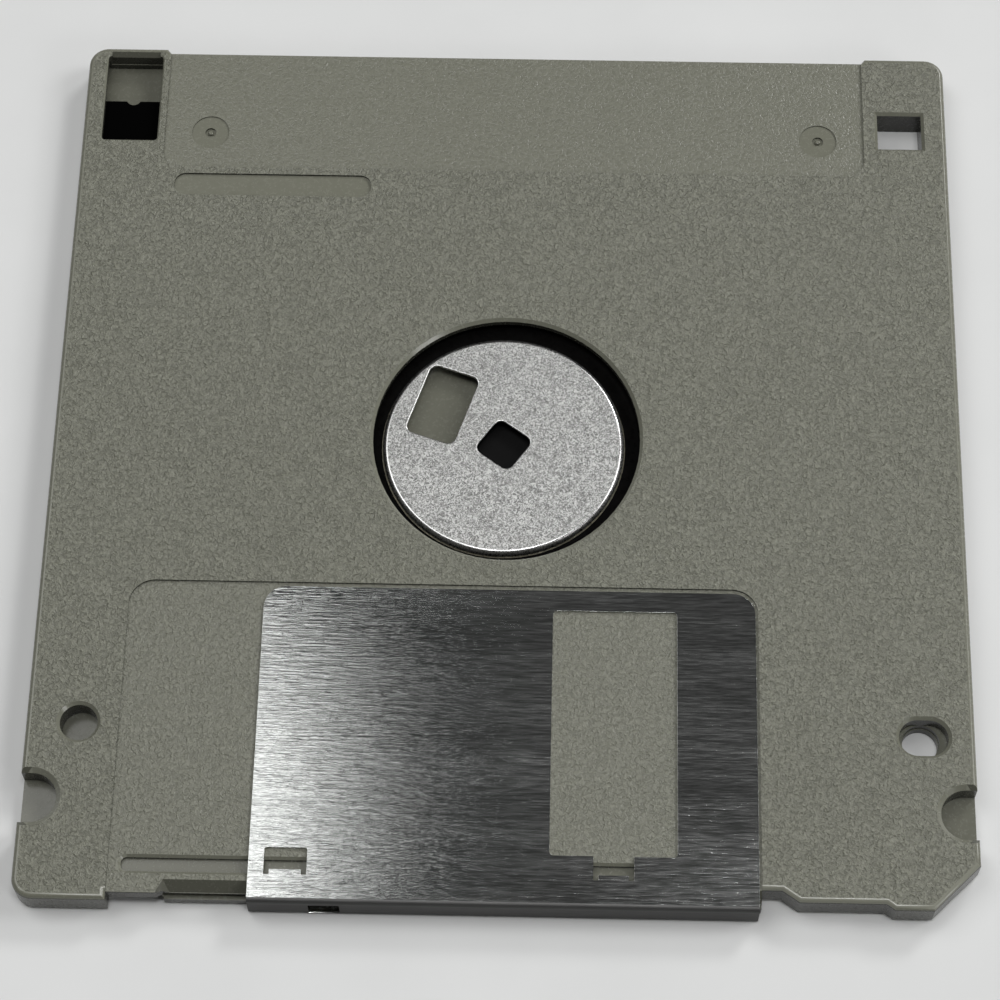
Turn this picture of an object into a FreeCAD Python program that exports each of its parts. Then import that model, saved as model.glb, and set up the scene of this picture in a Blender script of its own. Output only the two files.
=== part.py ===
import FreeCAD, Part
import math
import os
import re

import Sketcher

# Flexible magnetic disk cartridge, lying hub side up, in millimetres.
# X runs along the shutter edge, Y from the shutter edge to the label edge, Z up.
# The origin is the middle of the cartridge, on the surface it lies on.

SIZES = {
    # Case
    "case_width": 90.0,
    "case_depth": 94.0,
    "hollow_height": 1.5,
    "face_wall": 0.9,
    "rim_wall": 1.1,
    "corner_round": 2.0,
    "corner_cut": 4.9,
    "edge_round": 0.5,
    "bevel_slope": 45.0,
    "rim_bevel": 0.3,
    # Shutter edge of the case
    "block_width": 8.85,
    "lip_width": 4.55,
    "lip_setback": 0.75,
    "ledge_setback": 1.1,
    "ledge_drop": 0.95,
    "plate_setback": 2.1,
    "ramp_run": 0.7,
    "gap_width": 1.85,
    "gap_ramp": 1.6,
    "nose_setback": 1.0,
    "nose_inset": 8.9,
    "heel_setback": 0.45,
    "heel_inset": 8.1,
    # Disc chamber and corner pockets
    "hub_hole_radius": 13.25,
    "chamber_side_wall": 1.4,
    "chamber_back_wall": 1.9,
    "chamber_front_wall": 4.9,
    "chamber_gap": 0.7,
    "chamber_rib": 0.8,
    "pocket_side_inset": 8.4,
    "back_pocket_inset": 10.5,
    "back_pocket_width": 17.5,
    "weld_pin_radius": 0.9,
    "weld_boss_wall": 0.7,
    "weld_pin_gap": 0.05,
    "front_pin_inset": 14.0,
    "front_pin_setback": 8.5,
    "back_pin_inset": 15.5,
    "back_pin_setback": 4.6,
    # Label recesses
    "label_margin": 8.6,
    "label_depth": 0.25,
    "label_edge_inset": 0.5,
    "label_edge_ramp": 0.4,
    "label_round": 2.0,
    "back_label_reach": 14.6,
    "front_label_gap": 4.6,
    # Moulding marks
    "gate_inset": 13.35,
    "gate_setback": 10.25,
    "gate_radius": 1.95,
    "gate_depth": 0.12,
    "gate_pit_radius": 0.58,
    "gate_pit_depth": 0.35,
    "stadium_inset": 10.0,
    "stadium_length": 20.4,
    "stadium_gap": 0.8,
    "stadium_width": 2.6,
    "stadium_round": 1.2,
    "stadium_depth": 0.25,
    # Holes that a drive feels for
    "sense_inset": 2.55,
    "sense_width": 4.55,
    "sense_setback": 6.95,
    "sense_length": 4.1,
    "location_inset": 5.0,
    "location_setback": 17.5,
    "location_radius": 1.8,
    "location_slot": 4.7,
    "location_slot_shift": 0.15,
    "location_through_radius": 1.7,
    "notch_inset": 1.05,
    "notch_setback": 9.92,
    "notch_radius": 2.45,
    "notch_bevel": 0.45,
    "head_width": 9.0,
    "head_setback": 5.95,
    "head_inner_gap": 6.3,
    # Write protection
    "window_inset": 2.0,
    "window_label_gap": 0.8,
    "window_setback": 1.0,
    "window_round": 0.35,
    "window_rim_bevel": 0.15,
    "window_lead_in": 0.45,
    "tab_overlap": 0.4,
    "tab_side_gap": 0.1,
    "tab_cover": 0.75,
    "tab_cover_back": 0.85,
    "tab_notch_radius": 0.75,
    "tab_notch_depth": 0.45,
    "slide_gap": 0.05,
    # Shutter
    "shutter_sheet": 0.2,
    "shutter_travel": 12.0,
    "shutter_round": 2.2,
    "shutter_fold": 0.45,
    "shutter_frame_side": 7.55,
    "shutter_frame_back": 2.1,
    "shutter_window_lead": 2.6,
    "shutter_window_lag": 0.35,
    "shutter_window_margin": 0.9,
    "shutter_window_round": 0.4,
    "recess_closed_gap": 0.25,
    "recess_open_gap": 1.1,
    "recess_back_gap": 0.45,
    "recess_round": 2.5,
    # Lanced tabs that run in the rail groove
    "groove_setback": 2.9,
    "groove_width": 1.35,
    "groove_depth": 0.6,
    "groove_wall": 0.4,
    "groove_bevel": 0.25,
    "groove_end_gap": 1.85,
    "lance_wall_gap": 0.1,
    "lance_floor_gap": 0.1,
    "lance_relief": 0.3,
    "lance_slot_width": 2.35,
    "lance_side_gap": 0.5,
    "lance_slot_round": 0.25,
    "left_lance_inset": 1.95,
    "left_lance_width": 3.0,
    "right_lance_inset": 4.6,
    "right_lance_width": 2.8,
    # Hook that the spring pushes
    "hook_start": 5.65,
    "hook_width": 2.9,
    "hook_length": 3.6,
    "hook_joggle": 0.8,
    "hook_cut_height": 2.05,
    "hook_slot_height": 0.7,
    "hook_end_gap": 1.0,
    # Spring
    "wire_radius": 0.2,
    "coil_radius": 1.5,
    "coil_inset": 15.5,
    "coil_setback": 9.6,
    "foot_inset": 8.75,
    "foot_setback": 5.0,
    "post_radius": 1.1,
    # Disc
    "disc_film": 0.08,
    "disc_drop": 0.07,
    "disc_shift_x": -0.3,
    "disc_shift_y": -0.35,
    "glue_film": 0.08,
    "hub_face_drop": 0.9,
    "hub_sheet": 0.3,
    "hub_hole_gap": 1.25,
    "hub_bend": 0.35,
    "hub_flange_width": 2.4,
    "hub_clearance": 0.1,
    "spindle_hole": 4.2,
    "spindle_hole_round": 0.8,
    "spindle_hole_turn": 54.5,
    "drive_hole_length": 7.9,
    "drive_hole_width": 5.1,
    "drive_hole_round": 0.8,
    "drive_hole_turn": 71.3,
    "drive_hole_bearing": 144.6,
    "drive_hole_margin": 0.45,
    # Liners and what supports them
    "liner_film": 0.25,
    "liner_gap": 0.6,
    "liner_hub_gap": 0.8,
    "liner_window_gap": 0.7,
    "wear_pad_radius": 3.5,
    "wear_pad_film": 0.25,
    "lifter_film": 0.12,
    "lifter_recess": 0.25,
    "lifter_offset": 7.0,
    "lifter_setback": 14.0,
    "lifter_width": 14.0,
    "lifter_length": 12.0,
    "lifter_gap": 0.3,
    "lifter_glued": 5.0,
}

PLACES = {
    "case_thickness": "2 * face_wall + hollow_height",
    "left": "-case_width / 2",
    "right": "case_width / 2",
    "front": "-case_depth / 2",
    "back": "case_depth / 2",
    "top": "case_thickness",
    "parting": "case_thickness / 2",
    "ceiling": "case_thickness - face_wall",
    "half_hollow": "hollow_height / 2",
    # Disc chamber and head window
    "chamber_across": "case_width / 2 - chamber_side_wall",
    "chamber_along": "(case_depth - chamber_front_wall - chamber_back_wall) / 2",
    "chamber_radius": "min(chamber_across; chamber_along)",
    "rib_radius": "chamber_radius + chamber_rib",
    "hub_hole_y": "back - chamber_back_wall - chamber_radius",
    "head_front": "front + head_setback",
    "head_back": "hub_hole_y - hub_hole_radius - head_inner_gap",
    # Shutter and its recess
    "recess_left": "left + block_width",
    "shutter_left": "recess_left + recess_open_gap + shutter_travel",
    "window_closed_left": "shutter_travel - head_width / 2 - shutter_window_lead",
    "window_closed_right": "shutter_travel + head_width / 2 + shutter_window_lag",
    "shutter_right": "window_closed_right + shutter_frame_side",
    "shutter_width": "shutter_right - shutter_left",
    "shutter_window_front": "head_setback - shutter_window_margin",
    "shutter_window_back": "head_back - front + shutter_window_margin",
    "shutter_reach": "shutter_window_back + shutter_frame_back",
    "recess_right": "shutter_right + recess_closed_gap",
    "recess_back": "front + shutter_reach + recess_back_gap",
    "recess_depth": "shutter_sheet + slide_gap",
    "groove_front": "front + groove_setback",
    "groove_back": "groove_front + groove_width",
    "lance_setback": "groove_setback + lance_wall_gap",
    "lance_height": "recess_depth + groove_depth - lance_floor_gap",
    "left_lance_start": "left_lance_inset",
    "right_lance_start": "window_closed_left - shutter_left + right_lance_inset",
    "groove_left": "shutter_left + left_lance_start - shutter_travel - groove_end_gap",
    "groove_right": "shutter_left + right_lance_start + right_lance_width + groove_end_gap",
    "hook_level": "parting",
    "hook_left": "shutter_left + hook_start",
    "hook_right": "hook_left + hook_width",
    "hook_slot_end": "hook_right + hook_end_gap",
    # Shutter edge of the case
    "lip_end": "recess_left + lip_width",
    "ramp_end": "lip_end + ramp_run",
    "lip_y": "front + lip_setback",
    "ledge_y": "front + ledge_setback",
    "plate_y": "front + plate_setback",
    "gap_end": "recess_right + gap_width",
    "nose_start": "gap_end + gap_ramp",
    "nose_end": "right - nose_inset",
    "nose_y": "front + nose_setback",
    "heel_start": "right - heel_inset",
    "heel_y": "front + heel_setback",
    "chamber_front": "groove_back + groove_wall",
    # Label recesses and moulding marks
    "label_edge": "back - label_edge_inset",
    "label_left": "left + label_margin",
    "label_right": "right - label_margin",
    "back_label_front": "back - back_label_reach",
    "front_label_front": "recess_back + front_label_gap",
    "gate_y": "back - gate_setback",
    "stadium_left": "left + stadium_inset",
    "stadium_right": "stadium_left + stadium_length",
    "stadium_back": "back_label_front - stadium_gap",
    "stadium_front": "stadium_back - stadium_width",
    # Holes that a drive feels for, and the write-protect tab
    "sense_back": "back - sense_setback",
    "sense_front": "sense_back - sense_length",
    "tab_back": "sense_back + tab_cover_back",
    "tab_front": "sense_front - tab_cover",
    "tab_length": "tab_back - tab_front",
    "tab_travel": "sense_length + tab_cover + slide_gap",
    "window_left": "left + window_inset",
    "window_right": "label_left - window_label_gap",
    "window_back": "back - window_setback",
    "window_front": "tab_front + tab_overlap",
    "tab_left": "window_left - tab_overlap",
    "tab_right": "window_right + tab_overlap",
    "location_y": "front + location_setback",
    "location_left": "left + location_inset",
    "location_right": "right - location_inset",
    "slot_middle": "location_right + location_slot_shift",
    "notch_y": "front + notch_setback",
    "notch_left": "left + notch_inset",
    "notch_right": "right - notch_inset",
    # Disc, hub and liners
    "disc_radius": "chamber_radius - chamber_gap",
    "hub_x": "disc_shift_x",
    "hub_y": "hub_hole_y + disc_shift_y",
    "hub_radius": "hub_hole_radius - hub_hole_gap",
    "hub_flange_radius": "hub_radius + hub_flange_width",
    "hub_face": "top - hub_face_drop",
    "disc_under": "parting - disc_drop",
    "flange_top": "disc_under - glue_film",
    "flange_under": "flange_top - hub_sheet",
    "drive_hole_distance": "hub_radius - drive_hole_length / 2 - drive_hole_margin",
    "lifter_left": "head_width / 2 + lifter_offset",
    "lifter_right": "lifter_left + lifter_width",
    "lifter_front": "front + lifter_setback",
    "lifter_back": "lifter_front + lifter_length",
    "lifter_rise": "lifter_recess - lifter_film - slide_gap / 2",
}

doc = FreeCAD.newDocument("DiskCartridge")
size_sheet = doc.addObject("Spreadsheet::Sheet", "Sizes")
place_sheet = doc.addObject("Spreadsheet::Sheet", "Places")


def link(formula, home=""):
    """The formula with each name led by the sheet that holds it, for an expression."""

    def owner(match):
        word = match.group(0)
        if word in SIZES:
            return f"Sizes.{word}"
        if word in PLACES and home != "Places":
            return f"Places.{word}"
        return word

    return re.sub(r"[a-z_]+", owner, formula)


for row, (name, number) in enumerate(SIZES.items(), start=1):
    size_sheet.set(f"A{row}", name)
    size_sheet.set(f"B{row}", str(number))
    size_sheet.setAlias(f"B{row}", name)
for row, (name, formula) in enumerate(PLACES.items(), start=1):
    place_sheet.set(f"A{row}", name)
    place_sheet.setAlias(f"B{row}", name)
for row, (name, formula) in enumerate(PLACES.items(), start=1):
    place_sheet.set(f"B{row}", "=" + link(formula, home="Places"))
doc.recompute()


def size(name):
    """A driving size or a worked-out place, in millimetres."""
    sheet = size_sheet if name in SIZES else place_sheet
    return float(sheet.get(name))


# Sketches and features

def new_body(name):
    body = doc.addObject("PartDesign::Body", name)
    body.Label = name
    return body


def new_sketch(body, name, height="0", plane="XY_Plane"):
    """A sketch on one of the body's own planes, raised along that plane's normal."""
    drawing = body.newObject("Sketcher::SketchObject", name)
    datum = next(o for o in body.Origin.OriginFeatures if o.Role == plane)
    drawing.AttachmentSupport = (datum, "")
    drawing.MapMode = "FlatFace"
    drawing.setExpression("AttachmentOffset.Base.z", link(height))
    return drawing


def pin_point(drawing, geometry, point, x, y):
    """Dimensions a point of the sketch from the sketch's origin."""
    for kind, formula in (("DistanceX", x), ("DistanceY", y)):
        constraint = Sketcher.Constraint(kind, -1, 1, geometry, point, 1.0)
        index = drawing.addConstraint(constraint)
        drawing.setExpression(f"Constraints[{index}]", link(formula))


def draw_polygon(drawing, corners):
    """A closed outline of straight lines, each corner dimensioned by two formulas."""
    first = drawing.GeometryCount
    count = len(corners)
    turn = 2 * math.pi / count
    start = [FreeCAD.Vector(math.cos(i * turn), math.sin(i * turn), 0) for i in range(count)]
    for i in range(count):
        drawing.addGeometry(Part.LineSegment(start[i], start[(i + 1) % count]), False)
    for i in range(count):
        following = first + (i + 1) % count
        drawing.addConstraint(Sketcher.Constraint("Coincident", first + i, 2, following, 1))
    for i, (x, y) in enumerate(corners):
        pin_point(drawing, first + i, 1, x, y)


def draw_rectangle(drawing, left, right, front, back):
    draw_polygon(drawing, [(left, front), (right, front), (right, back), (left, back)])


def draw_circle(drawing, x, y, radius):
    index = drawing.addGeometry(Part.Circle(FreeCAD.Vector(0, 0, 0), FreeCAD.Vector(0, 0, 1), 1.0), False)
    pin_point(drawing, index, 3, x, y)
    constraint = drawing.addConstraint(Sketcher.Constraint("Radius", index, 1.0))
    drawing.setExpression(f"Constraints[{constraint}]", link(radius))


def checked_recompute(feature, body):
    """Works the feature out and stops where it failed."""
    doc.recompute()
    failed = any(word in feature.State for word in ("Invalid", "Error"))
    if failed or feature.Shape.isNull() or not feature.Shape.isValid():
        raise RuntimeError(f"{body.Label} {feature.Name} failed: {feature.State}")


def extrude(body, kind, name, drawing, length, reverse=False, draft=""):
    """A Pad or a Pocket of the sketch, narrower with depth if it has a draft."""
    before = body.Tip.Shape.Volume if body.Tip and kind == "Pocket" else 0.0
    feature = body.newObject(f"PartDesign::{kind}", name)
    feature.Profile = drawing
    feature.Reversed = reverse
    if draft:
        feature.setExpression("TaperAngle", "-" + link(draft))
    if length == "through":
        feature.Type = "ThroughAll"
        feature.Midplane = True
    else:
        feature.setExpression("Length", link(length))
    checked_recompute(feature, body)
    if kind == "Pocket" and not feature.Shape.Volume < before - 1e-6:
        raise RuntimeError(f"{body.Label} {name} cuts nothing")
    return feature


def pad(body, name, drawing, length, reverse=False):
    return extrude(body, "Pad", name, drawing, length, reverse)


def pocket(body, name, drawing, length, reverse=False, draft=""):
    return extrude(body, "Pocket", name, drawing, length, reverse, draft)


def soften(body, kind, name, edges, amount):
    """A Fillet or a Chamfer on the edges of the body's tip that are named."""
    if not edges:
        raise RuntimeError(f"{body.Label} {name} finds no edge")
    tip = body.Tip
    feature = body.newObject(f"PartDesign::{kind}", name)
    feature.Base = (tip, edges)
    feature.setExpression("Radius" if kind == "Fillet" else "Size", link(amount))
    checked_recompute(feature, body)
    return feature


def upright_edges(body, *corners):
    """Names of the tip's edges along Z that stand at the given places."""
    found = []
    for index, edge in enumerate(body.Tip.Shape.Edges, start=1):
        box = edge.BoundBox
        if box.ZLength < 1e-3 or box.XLength > 1e-3 or box.YLength > 1e-3:
            continue
        if any(abs(box.Center.x - x) < 0.02 and abs(box.Center.y - y) < 0.02 for x, y in corners):
            found.append(f"Edge{index}")
    return found


def level_edges(body, height, left, right, front, back):
    """Names of the tip's edges that lie flat at a height, inside a rectangle."""
    found = []
    for index, edge in enumerate(body.Tip.Shape.Edges, start=1):
        box = edge.BoundBox
        flat = abs(box.ZMin - height) < 1e-3 and abs(box.ZMax - height) < 1e-3
        inside = box.XMin > left and box.XMax < right and box.YMin > front and box.YMax < back
        if flat and inside:
            found.append(f"Edge{index}")
    return found


def ring_edges(body, height, radius):
    """Names of the tip's round edges of a radius that lie flat at a height."""
    found = []
    for index, edge in enumerate(body.Tip.Shape.Edges, start=1):
        round_edge = isinstance(edge.Curve, Part.Circle) and abs(edge.Curve.Radius - radius) < 1e-3
        if round_edge and abs(edge.BoundBox.Center.z - height) < 1e-3 and edge.BoundBox.ZLength < 1e-3:
            found.append(f"Edge{index}")
    return found


# Case shells

def case_outline(lip, ledge):
    """Outline of a shell; the shells differ only in how far the shutter edge is set back."""
    return [
        ("left", "front"),
        ("recess_left", "front"),
        ("recess_left", lip),
        ("lip_end", lip),
        ("ramp_end", ledge),
        ("recess_right", ledge),
        ("recess_right", "plate_y"),
        ("gap_end", "plate_y"),
        ("nose_start", "nose_y"),
        ("nose_end", "nose_y"),
        ("heel_start", "heel_y"),
        ("right - corner_cut + heel_setback", "heel_y"),
        ("right", "front + corner_cut"),
        ("right", "back"),
        ("label_right + label_edge_ramp", "back"),
        ("label_right", "label_edge"),
        ("label_left", "label_edge"),
        ("label_left - label_edge_ramp", "back"),
        ("left", "back"),
    ]


def corner_pockets(body, upward):
    """Hollows in the four corners, outside the disc chamber, cut as far as the face wall."""
    drawing = new_sketch(body, "corner_pocket_outline", "parting")
    reach_front = "chamber_front + rib_radius / 2"
    reach_back = "label_edge - rim_wall - rib_radius / 3"
    draw_rectangle(drawing, "left + pocket_side_inset", "hook_slot_end", "chamber_front", reach_front)
    draw_rectangle(drawing, "-hook_slot_end", "right - pocket_side_inset", "chamber_front", reach_front)
    for side in ("", "-"):
        inner = f"{side}(left + back_pocket_inset)"
        outer = f"{side}(left + back_pocket_inset + back_pocket_width)"
        edges = (inner, outer) if side == "" else (outer, inner)
        draw_rectangle(drawing, *edges, reach_back, "label_edge - rim_wall")
    pocket(body, "corner_pockets", drawing, "half_hollow", reverse=upward)


def chamber(body, upward):
    """The round wall about the disc, and the chamber inside it."""
    drawing = new_sketch(body, "chamber_rib_outline", "parting")
    draw_circle(drawing, "0", "hub_hole_y", "rib_radius")
    draw_circle(drawing, "0", "hub_hole_y", "chamber_radius")
    pad(body, "chamber_wall", drawing, "half_hollow + slide_gap", reverse=not upward)
    drawing = new_sketch(body, "chamber_outline", "parting")
    draw_circle(drawing, "0", "hub_hole_y", "chamber_radius")
    pocket(body, "disc_chamber", drawing, "half_hollow", reverse=upward)


def new_shell(name, lip, ledge, upward):
    """Case half with its outline, soft outer edge, corner pockets and disc chamber."""
    body = new_body(name)
    drawing = new_sketch(body, "outline", "parting")
    draw_polygon(drawing, case_outline(lip, ledge))
    pad(body, "plate", drawing, "case_thickness / 2", reverse=not upward)
    corners = [
        (size("left"), size("front")),
        (size("left"), size("back")),
        (size("right"), size("back")),
    ]
    soften(body, "Fillet", "outline_rounding", upright_edges(body, *corners), "corner_round")
    face = size("top") if upward else 0.0
    everywhere = (-1e3, 1e3, -1e3, 1e3)
    soften(body, "Fillet", "edge_rounding", level_edges(body, face, *everywhere), "edge_round")
    corner_pockets(body, upward)
    chamber(body, upward)
    return body


def cut_recess(body, name, face, corners, depth, upward, rounded, radius):
    """A shallow flat recess in the outer face, with the listed corners rounded."""
    drawing = new_sketch(body, f"{name}_outline", face)
    draw_polygon(drawing, corners)
    pocket(body, name, drawing, depth, reverse=not upward)
    if rounded:
        soften(body, "Fillet", f"{name}_rounding", upright_edges(body, *rounded), radius)


def shutter_recess(body, face, upward):
    """The recess that lets the shutter lie flush, open towards the shutter edge."""
    outside = "front - corner_cut"
    cut_recess(
        body, "shutter_recess", face,
        [("recess_left", outside), ("recess_right", outside),
         ("recess_right", "recess_back"), ("recess_left", "recess_back")],
        "recess_depth", upward,
        [(size("recess_left"), size("recess_back")), (size("recess_right"), size("recess_back"))],
        "recess_round",
    )


def label_recess(body, face, start, upward):
    """The recess for a label, open towards the label edge."""
    cut_recess(
        body, "label_recess", face,
        [("label_left", start), ("label_right", start),
         ("label_right", "back + corner_cut"), ("label_left", "back + corner_cut")],
        "label_depth", upward,
        [(size("label_left"), size(start)), (size("label_right"), size(start))],
        "label_round",
    )


def through_windows(body, drawing):
    """The openings that both shells share: head window and density hole."""
    draw_rectangle(drawing, "-head_width / 2", "head_width / 2", "head_front", "head_back")
    draw_rectangle(
        drawing, "right - sense_inset - sense_width", "right - sense_inset",
        "sense_front", "sense_back",
    )


def tab_channel(body, upward):
    """The channel in which the write-protect tab slides, half of it in each shell."""
    drawing = new_sketch(body, "tab_channel_outline", "parting")
    draw_rectangle(
        drawing, "tab_left - tab_side_gap", "tab_right + tab_side_gap",
        "tab_front - tab_side_gap", "tab_back + tab_travel + tab_side_gap",
    )
    pocket(body, "tab_channel", drawing, "half_hollow", reverse=upward)


def hook_slot(body, upward):
    """Half of the slot through which the shutter's hook reaches the spring."""
    drawing = new_sketch(body, "hook_slot_outline", "parting")
    draw_rectangle(drawing, "ramp_end", "hook_slot_end", "front - corner_cut", "chamber_front + rim_wall")
    pocket(body, "hook_slot", drawing, "hook_slot_height / 2", reverse=upward)


def side_notches(body, name, radius, face, depth, draft=""):
    """A notch with a round end in each side edge, cut down from a face."""
    drawing = new_sketch(body, f"{name}_mouth_outline", face)
    draw_rectangle(drawing, "left * 1.1", "notch_left", f"notch_y - {radius}", f"notch_y + {radius}")
    draw_rectangle(drawing, "notch_right", "right * 1.1", f"notch_y - {radius}", f"notch_y + {radius}")
    pocket(body, f"{name}_mouths", drawing, depth, draft=draft)
    drawing = new_sketch(body, f"{name}_end_outline", face)
    for side in ("notch_left", "notch_right"):
        draw_circle(drawing, side, "notch_y", radius)
    pocket(body, f"{name}_ends", drawing, depth, draft=draft)


def weld_places():
    """Centres of the pins that are welded when the case is closed."""
    return [
        ("right - front_pin_inset", "front + front_pin_setback"),
        ("left + back_pin_inset", "back - back_pin_setback"),
        ("right - back_pin_inset", "back - back_pin_setback"),
    ]


def back_shell():
    body = new_shell("back_shell", "lip_y", "ledge_y", True)

    drawing = new_sketch(body, "weld_boss_outline", "parting")
    for x, y in weld_places():
        draw_circle(drawing, x, y, "weld_pin_radius + weld_pin_gap + weld_boss_wall")
        draw_circle(drawing, x, y, "weld_pin_radius + weld_pin_gap")
    pad(body, "weld_bosses", drawing, "half_hollow + slide_gap")
    tab_channel(body, True)
    hook_slot(body, True)
    shutter_recess(body, "top", True)
    label_recess(body, "top", "back_label_front", True)

    drawing = new_sketch(body, "sloped_ledge_outline", "top - recess_depth")
    draw_polygon(drawing, [
        ("lip_end", "front - corner_cut"),
        ("recess_right + ledge_drop", "front - corner_cut"),
        ("recess_right + ledge_drop", "plate_y"),
        ("ramp_end", "plate_y"),
        ("lip_end", "lip_y"),
    ])
    pocket(body, "sloped_ledge", drawing, "ledge_drop", draft="bevel_slope")

    drawing = new_sketch(body, "rail_groove_outline", "top")
    draw_rectangle(drawing, "groove_left", "groove_right", "groove_front", "groove_back")
    pocket(body, "rail_groove", drawing, "recess_depth + groove_depth")
    ends = [(size(x), size(y)) for x in ("groove_left",) for y in ("groove_front", "groove_back")]
    soften(body, "Fillet", "groove_rounding", upright_edges(body, *ends), "groove_width * 0.4")
    margin = 0.05
    far_edge = level_edges(
        body, size("top") - size("recess_depth"), size("groove_left") - margin,
        size("groove_right") + margin, size("groove_back") - margin, size("groove_back") + margin,
    )
    soften(body, "Chamfer", "groove_bevel", far_edge, "groove_bevel")

    drawing = new_sketch(body, "window_outline", "top")
    through_windows(body, drawing)
    draw_rectangle(drawing, "window_left", "window_right", "window_front", "window_back")
    draw_circle(drawing, "location_left", "location_y", "location_radius")
    slot_front = "location_y - location_radius"
    slot_back = "location_y + location_radius"
    slot_half = "location_slot / 2"
    draw_rectangle(
        drawing, f"slot_middle - {slot_half}", f"slot_middle + {slot_half}", slot_front, slot_back
    )
    draw_circle(drawing, "0", "hub_hole_y", "hub_hole_radius")
    pocket(body, "windows", drawing, "through")

    right_slot = [
        (size("slot_middle") + side * size("location_slot") / 2,
         size("location_y") + end * size("location_radius"))
        for side in (-1, 1) for end in (-1, 1)
    ]
    soften(body, "Fillet", "slot_rounding", upright_edges(body, *right_slot), "location_radius - 0.02")
    window = [
        (size("window_left"), size("window_back")),
        (size("window_right"), size("window_back")),
        (size("window_left"), size("window_front")),
        (size("window_right"), size("window_front")),
    ]
    soften(body, "Fillet", "window_rounding", upright_edges(body, *window), "window_round")

    side_notches(body, "notch", "notch_radius", "top", "case_thickness / 2")
    side_notches(body, "notch_bevel", "(notch_radius + notch_bevel)", "top", "notch_bevel", "bevel_slope")

    window_rim = level_edges(
        body, size("top"), size("window_left") - margin, size("window_right") + margin,
        size("window_front") - margin, size("window_back") + margin,
    )
    soften(body, "Chamfer", "window_rim", window_rim, "window_rim_bevel")
    drawing = new_sketch(body, "window_lead_in_outline", "window_left + window_round", plane="YZ_Plane")
    draw_polygon(drawing, [
        ("window_back - slide_gap", "top - window_lead_in"),
        ("window_back + window_lead_in", "top"),
        ("window_back + window_lead_in", "top + window_lead_in"),
        ("window_back - slide_gap", "top + window_lead_in"),
    ])
    pocket(body, "window_lead_in", drawing, "window_right - window_left - 2 * window_round", reverse=True)

    bevelled = []
    margin = 0.3
    sense_left = size("right") - size("sense_inset") - size("sense_width")
    bevelled += level_edges(
        body, size("top"), sense_left - margin, size("right") - size("sense_inset") + margin,
        size("sense_front") - margin, size("sense_back") + margin,
    )
    for x in ("location_left", "slot_middle"):
        reach = size("location_slot") / 2 + margin
        bevelled += level_edges(
            body, size("top"), size(x) - reach, size(x) + reach,
            size("location_y") - reach, size("location_y") + reach,
        )
    hub_reach = size("hub_hole_radius") + margin
    bevelled += level_edges(
        body, size("top"), -hub_reach, hub_reach,
        size("hub_hole_y") - hub_reach, size("hub_hole_y") + hub_reach,
    )
    soften(body, "Chamfer", "rim_bevels", bevelled, "rim_bevel")

    drawing = new_sketch(body, "stadium_outline", "top")
    draw_rectangle(drawing, "stadium_left", "stadium_right", "stadium_front", "stadium_back")
    pocket(body, "stadium", drawing, "stadium_depth")
    corners = [
        (size(x), size(y)) for x in ("stadium_left", "stadium_right")
        for y in ("stadium_front", "stadium_back")
    ]
    soften(body, "Fillet", "stadium_rounding", upright_edges(body, *corners),
           "min(stadium_round; stadium_width / 2 - slide_gap)")

    gates = ("left + gate_inset", "right - gate_inset")
    drawing = new_sketch(body, "gate_dish_outline", "top - label_depth")
    for x in gates:
        draw_circle(drawing, x, "gate_y", "gate_radius")
    pocket(body, "gate_dishes", drawing, "gate_depth")
    drawing = new_sketch(body, "gate_pit_outline", "top - label_depth")
    for x in gates:
        draw_circle(drawing, x, "gate_y", "gate_pit_radius")
    pocket(body, "gate_pits", drawing, "gate_pit_depth")
    return body


def front_shell():
    body = new_shell("front_shell", "plate_y", "lip_y", False)

    drawing = new_sketch(body, "weld_pin_outline", "face_wall - slide_gap")
    for x, y in weld_places():
        draw_circle(drawing, x, y, "weld_pin_radius")
    pad(body, "weld_pins", drawing, "2 * half_hollow")
    drawing = new_sketch(body, "spring_post_outline", "face_wall - slide_gap")
    draw_circle(drawing, "left + coil_inset", "front + coil_setback", "post_radius")
    pad(body, "spring_post", drawing, "2 * half_hollow")
    tab_channel(body, False)
    hook_slot(body, False)
    side_notches(body, "notch_floor", "notch_radius", "parting", "half_hollow")
    shutter_recess(body, "0", False)
    label_recess(body, "0", "front_label_front", False)

    drawing = new_sketch(body, "window_outline", "0")
    through_windows(body, drawing)
    draw_rectangle(
        drawing, "left + sense_inset", "left + sense_inset + sense_width", "sense_front", "sense_back"
    )
    draw_circle(drawing, "location_right", "location_y", "location_through_radius")
    pocket(body, "windows", drawing, "through")

    drawing = new_sketch(body, "location_outline", "parting")
    draw_circle(drawing, "location_left", "location_y", "location_radius")
    draw_circle(drawing, "location_right", "location_y", "location_radius")
    pocket(body, "location_floors", drawing, "half_hollow")

    drawing = new_sketch(body, "lifter_recess_outline", "face_wall")
    draw_rectangle(
        drawing, "lifter_left - lifter_gap", "lifter_right + lifter_gap",
        "lifter_front - lifter_gap", "lifter_back + lifter_gap",
    )
    pocket(body, "lifter_recess", drawing, "lifter_recess")
    return body


# Shutter

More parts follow.
